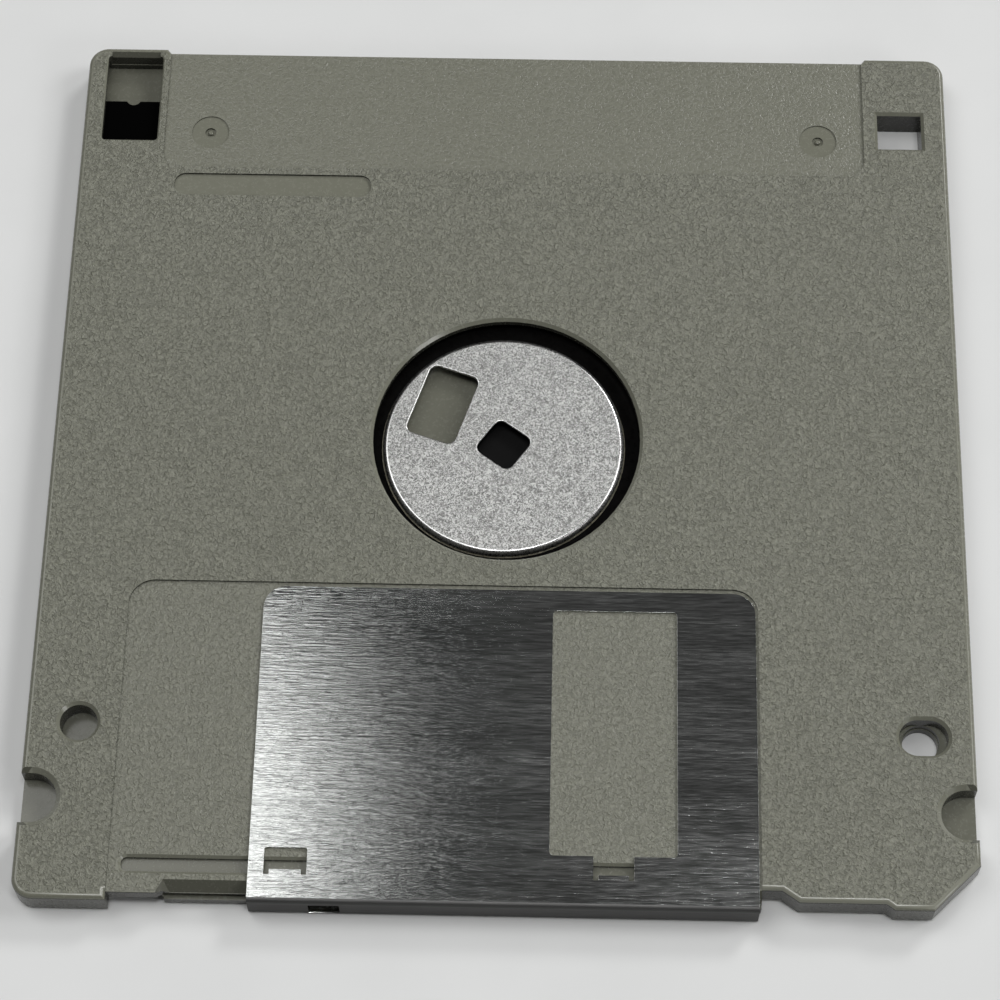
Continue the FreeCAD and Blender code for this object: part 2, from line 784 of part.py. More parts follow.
def shutter():
    """Thin sheet folded round the shutter edge, with lanced rail tabs and a spring hook."""
    body = new_body("shutter")
    body.setExpression("Placement.Base.x", link("shutter_left"))
    body.setExpression("Placement.Base.y", link("front"))

    drawing = new_sketch(body, "fold_outline", plane="YZ_Plane")
    draw_polygon(drawing, [
        ("0", "0"),
        ("shutter_reach", "0"),
        ("shutter_reach", "shutter_sheet"),
        ("shutter_sheet", "shutter_sheet"),
        ("shutter_sheet", "top - shutter_sheet"),
        ("shutter_reach", "top - shutter_sheet"),
        ("shutter_reach", "top"),
        ("0", "top"),
    ])
    pad(body, "folded_sheet", drawing, "shutter_width")
    sheet = size("shutter_sheet")
    outer = fold_edges(body, 0.0, (0.0, size("top")))
    soften(body, "Fillet", "fold_outside", outer, "shutter_fold")
    inner = fold_edges(body, sheet, (sheet, size("top") - sheet))
    soften(body, "Fillet", "fold_inside", inner, "shutter_fold - shutter_sheet")
    ends = [(x, size("shutter_reach")) for x in (0.0, size("shutter_width"))]
    soften(body, "Fillet", "flange_corners", upright_edges(body, *ends), "shutter_round")

    drawing = new_sketch(body, "window_outline", "top")
    draw_rectangle(
        drawing, "window_closed_left - shutter_left", "window_closed_right - shutter_left",
        "shutter_window_front", "shutter_window_back",
    )
    pocket(body, "windows", drawing, "through")
    corners = [
        (size(x) - size("shutter_left"), size(y)) for x in ("window_closed_left", "window_closed_right")
        for y in ("shutter_window_front", "shutter_window_back")
    ]
    soften(body, "Fillet", "window_corners", upright_edges(body, *corners), "shutter_window_round")

    drawing = new_sketch(body, "lance_slot_outline", "top")
    lances = (
        ("left_lance_start", "left_lance_width", "lance_setback + lance_slot_width"),
        ("right_lance_start", "right_lance_width", "shutter_window_front + shutter_sheet"),
    )
    for start, width, slot_back in lances:
        draw_rectangle(
            drawing, f"{start} - lance_side_gap", f"{start} + {width} + lance_side_gap",
            "lance_setback - lance_relief", slot_back,
        )
    pocket(body, "lance_slots", drawing, "2 * shutter_sheet")
    left_slot = [
        (size("left_lance_start") + x, size("lance_setback") + size("lance_slot_width"))
        for x in (-size("lance_side_gap"), size("left_lance_width") + size("lance_side_gap"))
    ]
    soften(body, "Fillet", "slot_corners", upright_edges(body, *left_slot), "lance_slot_round")
    for side, (start, width, _) in zip(("left", "right"), lances):
        drawing = new_sketch(body, f"{side}_lance_outline", start, plane="YZ_Plane")
        draw_polygon(drawing, [
            ("lance_setback - 2 * lance_relief", "top - shutter_sheet"),
            ("lance_setback", "top - shutter_sheet"),
            ("lance_setback", "top - lance_height"),
            ("lance_setback + shutter_sheet", "top - lance_height"),
            ("lance_setback + shutter_sheet", "top"),
            ("lance_setback - 2 * lance_relief", "top"),
        ])
        pad(body, f"{side}_lance", drawing, width)

    drawing = new_sketch(body, "hook_cut_outline", "hook_level + hook_joggle")
    draw_rectangle(drawing, "hook_start", "hook_start + hook_width", "-shutter_sheet", "2 * shutter_sheet")
    pocket(body, "hook_cut", drawing, "hook_cut_height")
    drawing = new_sketch(body, "hook_outline", "hook_start", plane="YZ_Plane")
    draw_polygon(drawing, [
        ("0", "hook_level + hook_joggle"),
        ("hook_joggle", "hook_level"),
        ("hook_length", "hook_level"),
        ("hook_length", "hook_level + shutter_sheet"),
        ("hook_joggle + shutter_sheet", "hook_level + shutter_sheet"),
        ("shutter_sheet", "hook_level + hook_joggle"),
    ])
    pad(body, "hook", drawing, "hook_width")
    return body


def fold_edges(body, y, heights):
    """Names of the tip's edges along X at a distance y behind the shutter edge."""
    found = []
    for index, edge in enumerate(body.Tip.Shape.Edges, start=1):
        box = edge.BoundBox
        if box.XLength < 1.0 or box.YLength > 1e-3 or box.ZLength > 1e-3:
            continue
        level = any(abs(box.Center.z - z) < 1e-3 for z in heights)
        if level and abs(box.Center.y - y) < 1e-3:
            found.append(f"Edge{index}")
    return found


# Write-protect tab

def write_protect_tab():
    """Small block that slides under its window and covers the sense hole at rest."""
    body = new_body("write_protect_tab")
    body.setExpression("Placement.Base.x", link("tab_left"))
    body.setExpression("Placement.Base.y", link("tab_front"))
    body.setExpression("Placement.Base.z", link("face_wall + slide_gap"))
    drawing = new_sketch(body, "block_outline")
    draw_rectangle(drawing, "0", "tab_right - tab_left", "0", "tab_length")
    pad(body, "block", drawing, "2 * (half_hollow - slide_gap)")
    drawing = new_sketch(body, "nail_notch_outline", "2 * (half_hollow - slide_gap)")
    middle = "(tab_right - tab_left) / 2"
    draw_circle(drawing, middle, "tab_length + tab_notch_radius - tab_notch_depth", "tab_notch_radius")
    pocket(body, "nail_notch", drawing, "through")
    return body


# Disc and hub

def flat_ring(name, x, y, z, outer, inner, film):
    """A flat ring of film, cut from sheet."""
    body = new_body(name)
    for axis, formula in zip("xyz", (x, y, z)):
        body.setExpression(f"Placement.Base.{axis}", link(formula))
    drawing = new_sketch(body, f"{name}_outline")
    draw_circle(drawing, "0", "0", outer)
    draw_circle(drawing, "0", "0", inner)
    pad(body, f"{name}_film", drawing, film)
    return body


def magnetic_disc():
    return flat_ring(
        "magnetic_disc", "hub_x", "hub_y", "disc_under",
        "disc_radius", "hub_radius + hub_clearance", "disc_film",
    )


def hub_adhesive_ring():
    return flat_ring(
        "hub_adhesive_ring", "hub_x", "hub_y", "flange_top",
        "hub_flange_radius - slide_gap", "hub_radius + hub_clearance", "glue_film",
    )


def hub():
    """Stamped steel cup with a flange, a square spindle hole and an oblong drive hole."""
    body = new_body("hub")
    for axis, formula in zip("xyz", ("hub_x", "hub_y", "flange_under")):
        body.setExpression(f"Placement.Base.{axis}", link(formula))
    drawing = new_sketch(body, "flange_outline")
    draw_circle(drawing, "0", "0", "hub_flange_radius")
    pad(body, "flange", drawing, "hub_sheet")
    drawing = new_sketch(body, "cup_outline")
    draw_circle(drawing, "0", "0", "hub_radius")
    pad(body, "cup", drawing, "hub_face - flange_under")
    holes = (
        ("spindle", None, "spindle_hole", "spindle_hole"),
        ("drive", "drive_hole_distance", "drive_hole_length", "drive_hole_width"),
    )
    for name, distance, length, width in holes:
        turn = f"{name}_hole_turn"
        drawing = new_sketch(body, f"{name}_hole_outline", "hub_face - flange_under")
        centre = FreeCAD.Vector(0, 0, 0)
        if distance:
            bearing = math.radians(size("drive_hole_bearing"))
            centre = FreeCAD.Vector(math.cos(bearing), math.sin(bearing), 0) * size(distance)
            drawing.setExpression("AttachmentOffset.Base.x", link(f"{distance} * {math.cos(bearing)}"))
            drawing.setExpression("AttachmentOffset.Base.y", link(f"{distance} * {math.sin(bearing)}"))
        drawing.setExpression("AttachmentOffset.Rotation.Angle", link(turn))
        draw_rectangle(drawing, f"-{length} / 2", f"{length} / 2", f"-{width} / 2", f"{width} / 2")
        pocket(body, f"{name}_hole", drawing, "through")
        spin = FreeCAD.Rotation(FreeCAD.Vector(0, 0, 1), size(turn))
        corners = []
        for i in (-1, 1):
            for j in (-1, 1):
                corner = centre + spin.multVec(FreeCAD.Vector(i * size(length) / 2, j * size(width) / 2, 0))
                corners.append((corner.x, corner.y))
        soften(body, "Fillet", f"{name}_hole_corners", upright_edges(body, *corners), f"{name}_hole_round")

    drawing = new_sketch(body, "hollow_outline")
    draw_circle(drawing, "0", "0", "hub_radius - hub_sheet")
    pocket(body, "hollow", drawing, "hub_face - flange_under - hub_sheet", reverse=True)

    face = size("hub_face") - size("flange_under")
    soften(body, "Chamfer", "outer_bend", ring_edges(body, face, size("hub_radius")), "hub_bend")
    inside = ring_edges(body, face - size("hub_sheet"), size("hub_radius") - size("hub_sheet"))
    soften(body, "Chamfer", "inner_bend", inside, "hub_bend - hub_sheet / 3")
    return body


# Liners, lifter and wear pad

def liner(name, z, hole):
    """Soft ring that wipes one side of the disc, open at the head window."""
    outer = "chamber_radius - liner_gap"
    body = flat_ring(name, "0", "hub_hole_y", z, outer, hole, "liner_film")
    drawing = new_sketch(body, "head_gap_outline", "liner_film")
    half = "(head_width / 2 + liner_window_gap)"
    draw_rectangle(
        drawing, f"-{half}", half, "-chamber_radius", "head_back - hub_hole_y + liner_window_gap"
    )
    pocket(body, "head_gap", drawing, "through")
    return body


def liner_lifter():
    """Springy leaf under the front liner: one end is glued, the other lifts."""
    body = new_body("liner_lifter")
    for axis, formula in zip("xyz", ("lifter_left", "lifter_front", "face_wall - lifter_recess")):
        body.setExpression(f"Placement.Base.{axis}", link(formula))
    drawing = new_sketch(body, "leaf_outline", plane="XZ_Plane")
    draw_polygon(drawing, [
        ("0", "0"),
        ("lifter_glued", "0"),
        ("lifter_width", "lifter_rise"),
        ("lifter_width", "lifter_rise + lifter_film"),
        ("lifter_glued", "lifter_film"),
        ("0", "lifter_film"),
    ])
    pad(body, "leaf", drawing, "lifter_length", reverse=True)
    return body


def wear_pad():
    """Round pad on the front shell that the hub runs on when the disc is pushed down."""
    pad_solid = doc.addObject("Part::Cylinder", "wear_pad")
    pad_solid.Label = "wear_pad"
    pad_solid.setExpression("Radius", link("wear_pad_radius"))
    pad_solid.setExpression("Height", link("wear_pad_film"))
    pad_solid.setExpression("Placement.Base.y", link("hub_hole_y"))
    pad_solid.setExpression("Placement.Base.z", link("face_wall"))
    return pad_solid


# Shutter spring

def shutter_spring():
    """Torsion spring: a foot in the case corner, a coil on its post, a leg to the hook."""
    radius = size("wire_radius")
    coil = size("coil_radius")
    low = size("parting") - size("wire_radius") / 4
    centre = FreeCAD.Vector(size("left") + size("coil_inset"), size("front") + size("coil_setback"), low)
    hook = FreeCAD.Vector(
        size("hook_left") - radius - size("slide_gap"),
        size("front") + size("hook_length") - radius, low,
    )
    foot = FreeCAD.Vector(size("left") + size("foot_inset"), size("front") + size("foot_setback"), low)

    def tangent_angle(point, side):
        """Angle on the coil where a straight leg to the point leaves it."""
        away = point - centre
        away.z = 0
        return math.atan2(away.y, away.x) + side * math.acos(coil / away.Length)

    hook_angle = tangent_angle(hook, 1)
    foot_angle = tangent_angle(foot, -1) + 2 * math.pi
    while foot_angle < hook_angle + 2 * math.pi:
        foot_angle += 2 * math.pi
    turns = (foot_angle - hook_angle) / (2 * math.pi)
    pitch = 2 * radius + size("slide_gap") / 2
    rise = FreeCAD.Vector(0, 0, pitch * turns)

    def on_coil(angle, lift):
        return centre + FreeCAD.Vector(coil * math.cos(angle), coil * math.sin(angle), 0) + lift

    def rod(start, end):
        return Part.makeCylinder(radius, (end - start).Length, start, end - start)

    start = on_coil(hook_angle, FreeCAD.Vector())
    end = on_coil(foot_angle, rise)
    helix = Part.makeHelix(pitch, pitch * turns, coil)
    helix.rotate(FreeCAD.Vector(), FreeCAD.Vector(0, 0, 1), math.degrees(hook_angle))
    helix.translate(centre)
    along = FreeCAD.Vector(-math.sin(hook_angle), math.cos(hook_angle), pitch / (2 * math.pi * coil))
    section = Part.Wire(Part.makeCircle(radius, start, along))
    winding = Part.Wire(helix.Edges).makePipeShell([section], True, True)

    hook_end = hook - FreeCAD.Vector(0, size("hook_length") / 3, 0)
    solids = [rod(start, hook), rod(hook, hook_end), rod(end, foot + rise)]
    solids += [Part.makeSphere(radius, point) for point in (start, hook, end)]
    wire = Part.Shape(winding).fuse(solids).removeSplitter()
    spring = doc.addObject("Part::Feature", "shutter_spring")
    spring.Label = "shutter_spring"
    spring.Shape = wire
    return spring


PIECES = [
    back_shell(),
    front_shell(),
    shutter(),
    shutter_spring(),
    write_protect_tab(),
    magnetic_disc(),
    hub_adhesive_ring(),
    hub(),
    liner("back_liner", "ceiling - liner_film", "hub_hole_radius + 2 * liner_hub_gap"),
    liner("front_liner", "face_wall", "hub_flange_radius + liner_hub_gap"),
    liner_lifter(),
    wear_pad(),
]

doc.recompute()
for part in doc.Objects:
    if any(word in part.State for word in ("Invalid", "Error")):
        raise RuntimeError(f"{part.Label} failed: {part.State}")
for piece in PIECES:
    if piece.Shape.isNull() or not piece.Shape.isValid():
        raise RuntimeError(f"{piece.Label} has no valid shape")
os.makedirs("parts", exist_ok=True)
for piece in PIECES:
    box = piece.Shape.BoundBox
    corners = (box.XMin, box.XMax, box.YMin, box.YMax, box.ZMin, box.ZMax)
    print(piece.Label, len(piece.Shape.Solids), round(piece.Shape.Volume, 2), [round(v, 2) for v in corners])
    piece.Shape.exportStep(f"parts/{piece.Label}.step")
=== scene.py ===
# %% [markdown]
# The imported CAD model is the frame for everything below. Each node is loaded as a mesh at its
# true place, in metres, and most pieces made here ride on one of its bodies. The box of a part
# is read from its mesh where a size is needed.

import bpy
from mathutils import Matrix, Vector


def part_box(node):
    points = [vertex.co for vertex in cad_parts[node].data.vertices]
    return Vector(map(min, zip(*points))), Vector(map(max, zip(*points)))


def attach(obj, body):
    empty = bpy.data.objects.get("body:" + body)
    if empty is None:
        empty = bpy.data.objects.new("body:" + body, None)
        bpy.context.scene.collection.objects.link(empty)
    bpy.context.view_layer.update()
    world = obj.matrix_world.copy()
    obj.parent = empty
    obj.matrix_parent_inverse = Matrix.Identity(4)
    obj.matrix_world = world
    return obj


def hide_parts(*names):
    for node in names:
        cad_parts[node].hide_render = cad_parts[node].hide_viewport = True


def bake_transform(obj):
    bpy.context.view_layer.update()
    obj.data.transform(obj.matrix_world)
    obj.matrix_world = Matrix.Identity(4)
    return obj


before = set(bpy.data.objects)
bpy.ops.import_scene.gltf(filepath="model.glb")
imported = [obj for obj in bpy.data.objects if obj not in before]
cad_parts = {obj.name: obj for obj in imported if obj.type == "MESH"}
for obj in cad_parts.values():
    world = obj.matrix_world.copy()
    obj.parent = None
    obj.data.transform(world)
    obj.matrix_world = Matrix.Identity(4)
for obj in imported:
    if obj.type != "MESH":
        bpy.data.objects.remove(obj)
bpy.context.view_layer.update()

# %% Modules and units
import math

import bmesh
import bpy
from mathutils import Vector

MM = 0.001
print("one millimetre is", MM, "of a Blender unit")

# %% [markdown]
# The photograph is taken from in front of the shutter edge, about 26 degrees off straight down.
# The camera stands where the corners, holes and hub of the case fall on the same pixels. A long
# lens would flatten the outline, so its place and its lens were fitted together.

# %% Camera
camera_data = bpy.data.cameras.new("camera")
camera_data.lens = 108.90648
camera_data.sensor_width = 36.0
camera_data.clip_start = 0.01
camera = bpy.data.objects.new("camera", camera_data)
camera.location = (0.00410422, -0.13419439, 0.27087030)
camera.rotation_euler = [math.radians(angle) for angle in (25.71313, 0.36770, 1.28091)]
bpy.context.scene.collection.objects.link(camera)
bpy.context.scene.camera = camera
bpy.context.scene.view_settings.view_transform = "Standard"
print("camera is", round(camera.location.length * 1000), "mm from the middle of the case")

# %% [markdown]
# A material is a small graph of nodes. A few helpers keep each one readable: one adds a node
# and sets its inputs by name, one wires Object coordinates through a scale, and others make
# noise, sums and mixes of colours. Object coordinates are in metres, so a scale of 4000 repeats
# a pattern every quarter of a millimetre.

# %% Node helpers
def feed(tree, socket, value):
    """Links the socket to the value where that is a socket too, and sets it otherwise."""
    if isinstance(value, bpy.types.NodeSocket):
        tree.links.new(value, socket)
    else:
        socket.default_value = value


def add_node(tree, kind, inputs=None, **settings):
    made = tree.nodes.new(kind)
    for name, value in settings.items():
        setattr(made, name, value)
    for name, value in (inputs or {}).items():
        feed(tree, made.inputs[name], value)
    return made


def object_points(tree, scale=(1, 1, 1)):
    """Object coordinates, scaled by a Mapping node."""
    place = add_node(tree, "ShaderNodeTexCoord")
    mapping = add_node(
        tree, "ShaderNodeMapping", {"Vector": place.outputs["Object"], "Scale": scale},
    )
    return mapping.outputs["Vector"]


def face_share(tree, name):
    """The number that each face keeps under this name, such as how grained it is."""
    made = add_node(
        tree, "ShaderNodeAttribute", attribute_type="GEOMETRY", attribute_name=name,
    )
    return made.outputs["Fac"]


def new_surface(name):
    """A material with a Principled shader; returns the material, its tree and the shader."""
    material = bpy.data.materials.new(name)
    material.use_nodes = True
    tree = material.node_tree
    shader = tree.nodes["Principled BSDF"]
    return material, tree, shader


def grey(value):
    return (value, value, value, 1.0)


print("a middle grey is", grey(0.5))

# %% Noise, sums and mixes
def noise(tree, points, scale, detail=2.0, rough=0.5, warp=0.0):
    made = add_node(
        tree, "ShaderNodeTexNoise",
        {"Vector": points, "Scale": scale, "Detail": detail, "Roughness": rough,
         "Distortion": warp},
    )
    return made.outputs["Fac"]


def remap(tree, value, low, high, to_low, to_high):
    made = add_node(
        tree, "ShaderNodeMapRange",
        {"Value": value, "From Min": low, "From Max": high, "To Min": to_low,
         "To Max": to_high},
    )
    return made.outputs["Result"]


def arithmetic(tree, operation, first, second):
    made = add_node(tree, "ShaderNodeMath", operation=operation)
    feed(tree, made.inputs[0], first)
    feed(tree, made.inputs[1], second)
    return made.outputs["Value"]


def weighted_sum(tree, first, first_weight, second, second_weight):
    return arithmetic(
        tree, "ADD",
        arithmetic(tree, "MULTIPLY", first, first_weight),
        arithmetic(tree, "MULTIPLY", second, second_weight),
    )


def creases(tree, value, width):
    """0 along the lines where the value passes its middle, and 1 away from them."""
    off = arithmetic(tree, "ABSOLUTE", arithmetic(tree, "SUBTRACT", value, 0.5), 0.0)
    return remap(tree, off, 0.0, width, 0.0, 1.0)


def blend_colours(tree, amount, first, second):
    made = add_node(tree, "ShaderNodeMix", data_type="RGBA")
    feed(tree, made.inputs[0], amount)
    feed(tree, made.inputs[6], first)
    feed(tree, made.inputs[7], second)
    return made.outputs[2]


def set_bump(tree, shader, height, strength, distance):
    made = add_node(
        tree, "ShaderNodeBump",
        {"Height": height, "Strength": strength, "Distance": distance},
    )
    tree.links.new(made.outputs["Normal"], shader.inputs["Normal"])


print("noise, sums, mixes and bumps can be wired")

# %% [markdown]
# The case is moulded in a warm grey styrene. Its mould was spark eroded, which leaves a leathery
# grain of short crooked ridges a few tenths of a millimetre apart. The label recess has a finer
# grain, and edges, walls and the small stadium are smooth, the walls polished for draft. The
# grain's colour follows its height, so its pits carry painted shade. Walls and deep floors are
# painted darker as shade, and the narrow rims of holes and recesses are painted lighter as a
# highlight. A picture of leather could be laid over it, but a warped noise on Object coordinates
# stays sharp at any distance, and each face says how much grain, painted shade and painted
# highlight it has.

# %% Case plastic
GRAIN_DEPTH = 0.34 * MM
# Walls and deep floors are painted this dark colour as shade.
PAINTED_SHADE_COLOUR = (0.034, 0.034, 0.027, 1.0)
# Narrow rims are painted this lighter colour as a highlight.
RIM_PAINTED_GLINT_COLOUR = (0.20, 0.202, 0.164, 1.0)


def case_plastic():
    material, tree, shader = new_surface("case_plastic")
    points = object_points(tree)
    grained = face_share(tree, "grain")
    painted_shade_share = face_share(tree, "painted_shade")
    smooth_rim_painted_glint_share = face_share(tree, "smooth_rim_painted_glint")
    hide = noise(tree, points, 2900, 1.5, 0.5, 0.9)
    pores = noise(tree, points, 5600, 2.0, 0.6)
    relief = weighted_sum(tree, hide, 0.7, pores, 0.3)
    relief = arithmetic(tree, "MULTIPLY", relief, grained)
    set_bump(tree, shader, relief, 1.0, GRAIN_DEPTH)

    cloud = noise(tree, points, 60, 3.0, 0.6)
    speck = noise(tree, points, 2400, 3.0, 0.7)
    tint = weighted_sum(tree, cloud, 0.35, speck, 0.65)
    plain = blend_colours(
        tree, remap(tree, tint, 0.2, 0.8, 0.0, 1.0),
        (0.146, 0.147, 0.115, 1.0), (0.168, 0.170, 0.134, 1.0),
    )
    # The grain's colour follows its height, so its pits are painted darker as shade.
    grain_with_pit_shade = blend_colours(
        tree, remap(tree, hide, 0.35, 0.65, 0.0, 1.0),
        (0.096, 0.097, 0.075, 1.0), (0.210, 0.213, 0.169, 1.0),
    )
    amount = arithmetic(tree, "MULTIPLY", grained, 0.65)
    coloured = blend_colours(tree, amount, plain, grain_with_pit_shade)
    # Painted shade on walls and deep floors, then a painted highlight on narrow rims.
    coloured = blend_colours(tree, painted_shade_share, coloured, PAINTED_SHADE_COLOUR)
    coloured = blend_colours(tree, smooth_rim_painted_glint_share, coloured, RIM_PAINTED_GLINT_COLOUR)
    tree.links.new(coloured, shader.inputs["Base Color"])
    rough = remap(tree, grained, 0.0, 1.0, 0.24, 0.42)
    rough = arithmetic(tree, "SUBTRACT", rough, arithmetic(tree, "MULTIPLY", smooth_rim_painted_glint_share, 0.04))
    rough = arithmetic(tree, "ADD", rough, remap(tree, speck, 0.3, 0.7, -0.05, 0.07))
    tree.links.new(rough, shader.inputs["Roughness"])
    return material


CASE_PLASTIC = case_plastic()
print("case plastic made")

# %% [markdown]
# The shutter is thin stainless sheet, brushed along its travel. The brushing is what makes it
# look like steel: long scratches along X that scatter light across them. Noise that is
# stretched along X gives the scratches, and the shader's own anisotropy, which follows the
# piece's UV map, spreads the highlight the same way. The brushing stops at the bend, so the
# strip along the front edge is dull, and it is painted dark as shade.

# %% Brushed shutter steel
SCRATCH_DEPTH = 0.02 * MM
# The front strip of the bend is painted this dark as shade.
FOLD_PAINTED_SHADE = (0.09, 0.09, 0.088, 1.0)


def shutter_steel():
    material, tree, shader = new_surface("shutter_steel")
    short = noise(tree, object_points(tree, (500, 6500, 6500)), 1.0, 2.0, 0.6)
    hair = noise(tree, object_points(tree, (200, 12000, 12000)), 1.0, 3.0, 0.65)
    broad = noise(tree, object_points(tree, (40, 420, 420)), 1.0, 2.0, 0.5)
    streaks = weighted_sum(tree, short, 0.7, hair, 0.3)
    colour = blend_colours(
        tree, remap(tree, streaks, 0.38, 0.62, 0.0, 1.0),
        (0.48, 0.495, 0.48, 1.0), (0.70, 0.715, 0.70, 1.0),
    )
    bent = face_share(tree, "bent")
    # Painted shade on the faces of the bend.
    colour = blend_colours(tree, bent, colour, FOLD_PAINTED_SHADE)
    tree.links.new(colour, shader.inputs["Base Color"])
    shader.inputs["Metallic"].default_value = 1.0
    roughness = arithmetic(tree, "ADD", remap(tree, streaks, 0.35, 0.65, 0.07, 0.12),
                           remap(tree, broad, 0.3, 0.7, -0.015, 0.02))
    roughness = arithmetic(tree, "ADD", roughness, arithmetic(tree, "MULTIPLY", bent, 0.35))
    tree.links.new(roughness, shader.inputs["Roughness"])
    shader.inputs["Anisotropic"].default_value = 0.8
    tangent = add_node(tree, "ShaderNodeTangent", direction_type="UV_MAP", uv_map="brushing")
    tree.links.new(tangent.outputs["Tangent"], shader.inputs["Tangent"])
    set_bump(tree, shader, streaks, 0.7, SCRATCH_DEPTH)
    return material


SHUTTER_STEEL = shutter_steel()
print("shutter steel brushed along X")

# %% [markdown]
# The hub is stamped from thicker steel and tumbled, so it is matte with a fine salt-and-pepper
# speckle and no direction. Small noise and thin curled lines in the colour and the roughness
# make the speckle, and a shallow bump makes it twinkle. The bent rim and the punched edges are
# smoother, and they are painted lighter as a highlight.

# %% Hub steel
SPECKLE_DEPTH = 0.03 * MM
# The bent rim and punched edges are painted this lighter colour as a highlight.
RIM_STEEL_PAINTED_HIGHLIGHT = (0.66, 0.66, 0.65, 1.0)


def hub_steel():
    material, tree, shader = new_surface("hub_steel")
    points = object_points(tree)
    bent = face_share(tree, "bent")
    flat = arithmetic(tree, "SUBTRACT", 1.0, bent)
    curls = creases(tree, noise(tree, points, 2600, 2.0, 0.55, 1.6), 0.11)
    speckle = noise(tree, points, 5000, 3.0, 0.65, 0.8)
    mixed = weighted_sum(tree, speckle, 0.45, curls, 0.55)
    speckled = blend_colours(
        tree, remap(tree, mixed, 0.25, 0.85, 0.0, 1.0),
        (0.13, 0.131, 0.125, 1.0), (0.64, 0.642, 0.628, 1.0),
    )
    # Painted highlight on the bent faces.
    colour = blend_colours(tree, bent, speckled, RIM_STEEL_PAINTED_HIGHLIGHT)
    tree.links.new(colour, shader.inputs["Base Color"])
    shader.inputs["Metallic"].default_value = 1.0
    rough = remap(tree, mixed, 0.35, 0.80, 0.58, 0.44)
    rough = arithmetic(tree, "SUBTRACT", rough, arithmetic(tree, "MULTIPLY", bent, 0.22))
    tree.links.new(rough, shader.inputs["Roughness"])
    set_bump(tree, shader, arithmetic(tree, "MULTIPLY", mixed, flat), 0.6, SPECKLE_DEPTH)
    return material


HUB_STEEL = hub_steel()
print("hub steel is speckled")

# %% [markdown]
# The small parts inside have plain finishes, each with the detail that shows when a drive opens
# the shutter: drawn wire, black plastic, coated film, glue, felted fabric and clear leaf.

# %% Wire, tab and pad finishes
def spring_wire():
    material, tree, shader = new_surface("spring_steel")
    drawn = noise(tree, object_points(tree, (400, 4000, 4000)), 1.0, 3.0, 0.6)
    colour = blend_colours(tree, drawn, grey(0.34), grey(0.58))
    tree.links.new(colour, shader.inputs["Base Color"])
    shader.inputs["Metallic"].default_value = 1.0
    tree.links.new(remap(tree, drawn, 0.3, 0.7, 0.22, 0.36), shader.inputs["Roughness"])
    return material


def black_plastic(name, level, rough, shine):
    material, tree, shader = new_surface(name)
    grain = noise(tree, object_points(tree), 4200, 3.0, 0.6)
    colour = blend_colours(tree, grain, grey(level * 0.8), grey(level * 1.3))
    tree.links.new(colour, shader.inputs["Base Color"])
    roughness = remap(tree, grain, 0.3, 0.7, rough - 0.06, rough + 0.08)
    tree.links.new(roughness, shader.inputs["Roughness"])
    shader.inputs["Specular IOR Level"].default_value = shine
    set_bump(tree, shader, grain, 0.3, 0.02 * MM)
    return material


SPRING_STEEL = spring_wire()
TAB_PLASTIC = black_plastic("tab_plastic", 0.0008, 0.7, 0.01)
PAD_PLASTIC = black_plastic("pad_plastic", 0.002, 0.5, 0.08)
print("wire, tab and pad finishes made")

# %% Disc film, glue, fabric and leaf finishes
def magnetic_film():
    material, tree, shader = new_surface("magnetic_film")
    points = object_points(tree)
    coating = noise(tree, points, 1500, 3.0, 0.6)
    colour = blend_colours(
        tree, coating, (0.0015, 0.0014, 0.0014, 1), (0.003, 0.0028, 0.0026, 1),
    )
    tree.links.new(colour, shader.inputs["Base Color"])
    tree.links.new(remap(tree, coating, 0.3, 0.7, 0.24, 0.34), shader.inputs["Roughness"])
    shader.inputs["Specular IOR Level"].default_value = 0.04
    set_bump(tree, shader, noise(tree, points, 120, 2.0, 0.5), 0.12, 0.05 * MM)
    return material


def glue_film():
    material, tree, shader = new_surface("adhesive")
    blot = noise(tree, object_points(tree), 900, 3.0, 0.6)
    colour = blend_colours(tree, blot, (0.42, 0.38, 0.26, 1), (0.60, 0.56, 0.42, 1))
    tree.links.new(colour, shader.inputs["Base Color"])
    tree.links.new(remap(tree, blot, 0.3, 0.7, 0.3, 0.5), shader.inputs["Roughness"])
    return material


def liner_fabric():
    material, tree, shader = new_surface("liner_fabric")
    fibres = noise(tree, object_points(tree), 1300, 5.0, 0.75, 1.6)
    colour = blend_colours(tree, fibres, (0.55, 0.55, 0.53, 1), (0.78, 0.78, 0.76, 1))
    tree.links.new(colour, shader.inputs["Base Color"])
    shader.inputs["Roughness"].default_value = 0.9
    shader.inputs["Sheen Weight"].default_value = 0.2
    set_bump(tree, shader, fibres, 0.6, 0.06 * MM)
    return material


def lifter_leaf():
    material, tree, shader = new_surface("lifter_film")
    haze = noise(tree, object_points(tree), 300, 2.0, 0.5)
    colour = blend_colours(tree, haze, (0.58, 0.58, 0.55, 1), (0.70, 0.70, 0.67, 1))
    tree.links.new(colour, shader.inputs["Base Color"])
    tree.links.new(remap(tree, haze, 0.3, 0.7, 0.2, 0.32), shader.inputs["Roughness"])
    return material


MAGNETIC_FILM = magnetic_film()
GLUE_FILM = glue_film()
LINER_FABRIC = liner_fabric()
LIFTER_LEAF = lifter_leaf()
print("film, glue, fabric and leaf finishes made")

# %% [markdown]
# Moulded and stamped edges are never perfectly sharp, and a tiny rounding is what draws the
# thin bright and dark lines along every recess. The solids have the true shapes, so each
# dressed piece starts as a copy of its solid: the copy's doubles are merged, its flat
# triangles are joined into whole faces, and its sharp edges get a small bevel. A weighted
# normal then keeps the large faces flat.

# %% Merged copies and rounded edges
MERGE_WITHIN = 0.0005 * MM
FLAT_WITHIN = math.radians(0.6)


